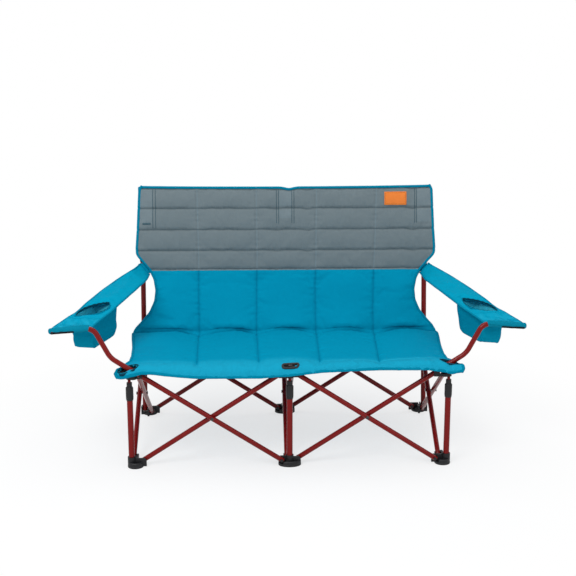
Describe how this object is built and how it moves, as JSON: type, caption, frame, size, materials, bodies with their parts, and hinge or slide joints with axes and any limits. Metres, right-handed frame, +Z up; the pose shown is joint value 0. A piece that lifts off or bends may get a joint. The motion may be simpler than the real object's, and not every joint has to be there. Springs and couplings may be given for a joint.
{
  "type": "folding camping loveseat",
  "caption": "Folding camping loveseat: quilted two-seat sling on a crossed-tube frame that gathers upwards, with fabric armrests and cup pouches.",
  "frame": {"origin": "on the floor, under the middle of the open chair's bounding box", "axes": "+X across the width to the sitter's left-hand armrest as seen from the front on the right, +Y towards the back, +Z up"},
  "size_m": [1.4854, 0.6744, 0.8184],
  "materials": {
    "red_paint": "semi_gloss",
    "black_plastic": "matte",
    "rivet_steel": "satin",
    "grey_cloth": "matte",
    "teal_cloth": "matte",
    "dark_teal_cloth": "matte"
  },
  "bodies": {
    "base": {"front_middle_foot": "black_plastic", "middle_strut_tube": "red_paint", "middle_strut_wide_collar": "black_plastic"},
    "middle_side_brace_a": {"middle_side_brace_front_foot": "red_paint", "middle_side_brace_rivet": "rivet_steel"},
    "middle_side_brace_b": {"middle_side_brace_back_foot": "red_paint"},
    "front_middle_hub": {"front_middle_hub": "black_plastic", "middle_strut_rod": "red_paint"},
    "back_middle_foot": {"back_middle_foot": "black_plastic"},
    "back_middle_hub": {"back_middle_hub": "black_plastic"},
    "left_arm": {"left_arm_tube": "red_paint", "front_left_brace_rivet": "rivet_steel"},
    "front_left_brace": {"front_left_brace_rising": "red_paint"},
    "front_left_foot": {"front_left_foot": "black_plastic", "left_strut_tube": "red_paint", "left_strut_wide_collar": "black_plastic"},
    "front_left_hub": {"front_left_hub": "black_plastic", "left_strut_rod": "red_paint"},
    "back_left_brace_a": {"back_left_brace_falling": "red_paint", "back_left_brace_rivet": "rivet_steel"},
    "back_left_brace_b": {"back_left_brace_rising": "red_paint"},
    "back_left_foot": {"back_left_foot": "black_plastic"},
    "back_left_hub": {"back_left_hub": "black_plastic"},
    "left_side_brace_a": {"left_side_brace_front_foot": "red_paint", "left_side_brace_rivet": "rivet_steel"},
    "left_side_brace_b": {"left_side_brace_back_foot": "red_paint"},
    "right_arm": {"right_arm_tube": "red_paint", "front_right_brace_rivet": "rivet_steel"},
    "front_right_brace": {"front_right_brace_falling": "red_paint"},
    "front_right_foot": {"front_right_foot": "black_plastic", "right_strut_tube": "red_paint", "right_strut_wide_collar": "black_plastic"},
    "front_right_hub": {"front_right_hub": "black_plastic", "right_strut_rod": "red_paint"},
    "back_right_brace_a": {"back_right_brace_rising": "red_paint", "back_right_brace_rivet": "rivet_steel"},
    "back_right_brace_b": {"back_right_brace_falling": "red_paint"},
    "back_right_foot": {"back_right_foot": "black_plastic"},
    "back_right_hub": {"back_right_hub": "black_plastic"},
    "right_side_brace_a": {"right_side_brace_front_foot": "red_paint", "right_side_brace_rivet": "rivet_steel"},
    "right_side_brace_b": {"right_side_brace_back_foot": "red_paint"},
    "left_strut_middle": {"left_strut_middle_tube": "red_paint", "left_strut_narrow_collar": "black_plastic"},
    "middle_strut_middle": {"middle_strut_middle_tube": "red_paint", "middle_strut_narrow_collar": "black_plastic"},
    "right_strut_middle": {"right_strut_middle_tube": "red_paint", "right_strut_narrow_collar": "black_plastic"},
    "left_back_post": {"left_back_post": "red_paint"},
    "middle_back_post": {"middle_back_post": "red_paint", "back_panel": "grey_cloth"},
    "right_back_post": {"right_back_post": "red_paint"},
    "lower_back": {"lower_back": "teal_cloth"},
    "seat": {"seat": "teal_cloth"},
    "left_armrest": {"left_armrest": "teal_cloth", "left_cup_pouch": "dark_teal_cloth"},
    "right_armrest": {"right_armrest": "teal_cloth", "right_cup_pouch": "dark_teal_cloth"}
  },
  "joints": [
    {"name": "frame_fold", "type": "hinge", "parent": "base", "child": "middle_side_brace_a", "pos_m": [-0.0085, -0.26303, 0.02], "axis": [1, 0, 0], "range_deg": [0, 50], "deforming": ["back_panel", "lower_back", "seat", "left_armrest", "right_armrest", "left_cup_pouch", "right_cup_pouch"]},
    {"name": "middle_side_cross", "type": "hinge", "parent": "middle_side_brace_a", "child": "middle_side_brace_b", "pos_m": [0, -0.04403, 0.1615], "axis": [1, 0, 0], "range_deg": [-100, 0]},
    {"name": "front_middle_hub_pivot", "type": "hinge", "parent": "middle_side_brace_b", "child": "front_middle_hub", "pos_m": [0.0085, -0.26303, 0.303], "axis": [1, 0, 0], "range_deg": [0, 50]},
    {"name": "back_middle_foot_pivot", "type": "hinge", "parent": "middle_side_brace_b", "child": "back_middle_foot", "pos_m": [0.0085, 0.17497, 0.02], "axis": [1, 0, 0], "range_deg": [0, 50]},
    {"name": "back_middle_hub_pivot", "type": "hinge", "parent": "middle_side_brace_a", "child": "back_middle_hub", "pos_m": [-0.0085, 0.17497, 0.303], "axis": [1, 0, 0], "range_deg": [-50, 0]},
    {"name": "left_arm_pivot", "type": "hinge", "parent": "base", "child": "left_arm", "pos_m": [-0.026, -0.30453, 0.02], "axis": [0, 1, 0], "range_deg": [0, 50]},
    {"name": "front_left_cross", "type": "hinge", "parent": "left_arm", "child": "front_left_brace", "pos_m": [-0.245, -0.29603, 0.1615], "axis": [0, 1, 0], "range_deg": [-100, 0]},
    {"name": "front_left_foot_pivot", "type": "hinge", "parent": "front_left_brace", "child": "front_left_foot", "pos_m": [-0.464, -0.28753, 0.02], "axis": [0, 1, 0], "range_deg": [0, 50]},
    {"name": "front_left_hub_pivot", "type": "hinge", "parent": "left_arm", "child": "front_left_hub", "pos_m": [-0.464, -0.30453, 0.303], "axis": [0, 1, 0], "range_deg": [-50, 0]},
    {"name": "back_left_brace_pivot", "type": "hinge", "parent": "back_middle_foot", "child": "back_left_brace_a", "pos_m": [-0.026, 0.19947, 0.02], "axis": [0, 1, 0], "range_deg": [0, 50]},
    {"name": "back_left_cross", "type": "hinge", "parent": "back_left_brace_a", "child": "back_left_brace_b", "pos_m": [-0.245, 0.20797, 0.1615], "axis": [0, 1, 0], "range_deg": [-100, 0]},
    {"name": "back_left_foot_pivot", "type": "hinge", "parent": "back_left_brace_b", "child": "back_left_foot", "pos_m": [-0.464, 0.21647, 0.02], "axis": [0, 1, 0], "range_deg": [0, 50]},
    {"name": "back_left_hub_pivot", "type": "hinge", "parent": "back_left_brace_a", "child": "back_left_hub", "pos_m": [-0.464, 0.19947, 0.303], "axis": [0, 1, 0], "range_deg": [-50, 0]},
    {"name": "left_side_pivot", "type": "hinge", "parent": "front_left_foot", "child": "left_side_brace_a", "pos_m": [-0.4985, -0.26303, 0.02], "axis": [1, 0, 0], "range_deg": [0, 50]},
    {"name": "left_side_cross", "type": "hinge", "parent": "left_side_brace_a", "child": "left_side_brace_b", "pos_m": [-0.49, -0.04403, 0.1615], "axis": [1, 0, 0], "range_deg": [-100, 0]},
    {"name": "right_arm_pivot", "type": "hinge", "parent": "base", "child": "right_arm", "pos_m": [0.026, -0.28753, 0.02], "axis": [0, 1, 0], "range_deg": [-50, 0]},
    {"name": "front_right_cross", "type": "hinge", "parent": "right_arm", "child": "front_right_brace", "pos_m": [0.245, -0.29603, 0.1615], "axis": [0, 1, 0], "range_deg": [0, 100]},
    {"name": "front_right_foot_pivot", "type": "hinge", "parent": "front_right_brace", "child": "front_right_foot", "pos_m": [0.464, -0.30453, 0.02], "axis": [0, 1, 0], "range_deg": [-50, 0]},
    {"name": "front_right_hub_pivot", "type": "hinge", "parent": "right_arm", "child": "front_right_hub", "pos_m": [0.464, -0.28753, 0.303], "axis": [0, 1, 0], "range_deg": [0, 50]},
    {"name": "back_right_brace_pivot", "type": "hinge", "parent": "back_middle_foot", "child": "back_right_brace_a", "pos_m": [0.026, 0.21647, 0.02], "axis": [0, 1, 0], "range_deg": [-50, 0]},
    {"name": "back_right_cross", "type": "hinge", "parent": "back_right_brace_a", "child": "back_right_brace_b", "pos_m": [0.245, 0.20797, 0.1615], "axis": [0, 1, 0], "range_deg": [0, 100]},
    {"name": "back_right_foot_pivot", "type": "hinge", "parent": "back_right_brace_b", "child": "back_right_foot", "pos_m": [0.464, 0.19947, 0.02], "axis": [0, 1, 0], "range_deg": [-50, 0]},
    {"name": "back_right_hub_pivot", "type": "hinge", "parent": "back_right_brace_a", "child": "back_right_hub", "pos_m": [0.464, 0.21647, 0.303], "axis": [0, 1, 0], "range_deg": [0, 50]},
    {"name": "right_side_pivot", "type": "hinge", "parent": "front_right_foot", "child": "right_side_brace_a", "pos_m": [0.4815, -0.26303, 0.02], "axis": [1, 0, 0], "range_deg": [0, 50]},
    {"name": "right_side_cross", "type": "hinge", "parent": "right_side_brace_a", "child": "right_side_brace_b", "pos_m": [0.49, -0.04403, 0.1615], "axis": [1, 0, 0], "range_deg": [-100, 0]},
    {"name": "left_strut_slide", "type": "slide", "parent": "front_left_foot", "child": "left_strut_middle", "axis": [0, 0, 1], "range_m": [0, 0.12]},
    {"name": "middle_strut_slide", "type": "slide", "parent": "base", "child": "middle_strut_middle", "axis": [0, 0, 1], "range_m": [0, 0.12]},
    {"name": "right_strut_slide", "type": "slide", "parent": "front_right_foot", "child": "right_strut_middle", "axis": [0, 0, 1], "range_m": [0, 0.12]},
    {"name": "left_post_tilt", "type": "hinge", "parent": "back_left_foot", "child": "left_back_post", "pos_m": [-0.508, 0.20797, 0.02], "axis": [1, 0, 0], "range_deg": [0, 3.5]},
    {"name": "middle_post_tilt", "type": "hinge", "parent": "back_middle_foot", "child": "middle_back_post", "pos_m": [0, 0.20797, 0.02], "axis": [1, 0, 0], "range_deg": [0, 3.5]},
    {"name": "right_post_tilt", "type": "hinge", "parent": "back_right_foot", "child": "right_back_post", "pos_m": [0.508, 0.20797, 0.02], "axis": [1, 0, 0], "range_deg": [0, 3.5]},
    {"name": "sling_back_hinge", "type": "hinge", "parent": "middle_back_post", "child": "lower_back", "pos_m": [0, 0.26453, 0.518], "axis": [1, 0, 0], "range_deg": [0, 30.14]},
    {"name": "sling_seat_hinge", "type": "hinge", "parent": "lower_back", "child": "seat", "pos_m": [0, 0.04397, 0.32523], "axis": [1, 0, 0], "range_deg": [-108.56, 0]},
    {"name": "left_armrest_swing", "type": "hinge", "parent": "left_back_post", "child": "left_armrest", "pos_m": [-0.508, 0.28491, 0.541], "axis": [-0.8212, 0.5679, 0.0563], "range_deg": [0, 72.47]},
    {"name": "right_armrest_swing", "type": "hinge", "parent": "right_back_post", "child": "right_armrest", "pos_m": [0.508, 0.28491, 0.541], "axis": [-0.8398, -0.5393, -0.0618], "range_deg": [0, 74.39]}
  ],
  "couplings": [
    {"joint": "middle_side_cross", "follows": "frame_fold", "ratio": -2},
    {"joint": "front_middle_hub_pivot", "follows": "frame_fold", "ratio": 1},
    {"joint": "back_middle_foot_pivot", "follows": "frame_fold", "ratio": 1},
    {"joint": "back_middle_hub_pivot", "follows": "frame_fold", "ratio": -1},
    {"joint": "left_arm_pivot", "follows": "frame_fold", "ratio": 1},
    {"joint": "front_left_cross", "follows": "frame_fold", "ratio": -2},
    {"joint": "front_left_foot_pivot", "follows": "frame_fold", "ratio": 1},
    {"joint": "front_left_hub_pivot", "follows": "frame_fold", "ratio": -1},
    {"joint": "back_left_brace_pivot", "follows": "frame_fold", "ratio": 1},
    {"joint": "back_left_cross", "follows": "frame_fold", "ratio": -2},
    {"joint": "back_left_foot_pivot", "follows": "frame_fold", "ratio": 1},
    {"joint": "back_left_hub_pivot", "follows": "frame_fold", "ratio": -1},
    {"joint": "left_side_pivot", "follows": "frame_fold", "ratio": 1},
    {"joint": "left_side_cross", "follows": "frame_fold", "ratio": -2},
    {"joint": "right_arm_pivot", "follows": "frame_fold", "ratio": -1},
    {"joint": "front_right_cross", "follows": "frame_fold", "ratio": 2},
    {"joint": "front_right_foot_pivot", "follows": "frame_fold", "ratio": -1},
    {"joint": "front_right_hub_pivot", "follows": "frame_fold", "ratio": 1},
    {"joint": "back_right_brace_pivot", "follows": "frame_fold", "ratio": -1},
    {"joint": "back_right_cross", "follows": "frame_fold", "ratio": 2},
    {"joint": "back_right_foot_pivot", "follows": "frame_fold", "ratio": -1},
    {"joint": "back_right_hub_pivot", "follows": "frame_fold", "ratio": 1},
    {"joint": "right_side_pivot", "follows": "frame_fold", "ratio": 1},
    {"joint": "right_side_cross", "follows": "frame_fold", "ratio": -2},
    {"joint": "left_strut_slide", "follows": "frame_fold", "m_per_rad": 0.13751},
    {"joint": "middle_strut_slide", "follows": "frame_fold", "m_per_rad": 0.13751},
    {"joint": "right_strut_slide", "follows": "frame_fold", "m_per_rad": 0.13751},
    {"joint": "left_post_tilt", "follows": "frame_fold", "ratio": 0.07},
    {"joint": "middle_post_tilt", "follows": "frame_fold", "ratio": 0.07},
    {"joint": "right_post_tilt", "follows": "frame_fold", "ratio": 0.07},
    {"joint": "sling_back_hinge", "follows": "frame_fold", "ratio": 0.60274},
    {"joint": "sling_seat_hinge", "follows": "frame_fold", "ratio": -2.1712},
    {"joint": "left_armrest_swing", "follows": "frame_fold", "ratio": 1.4494},
    {"joint": "right_armrest_swing", "follows": "frame_fold", "ratio": 1.4879}
  ]
}
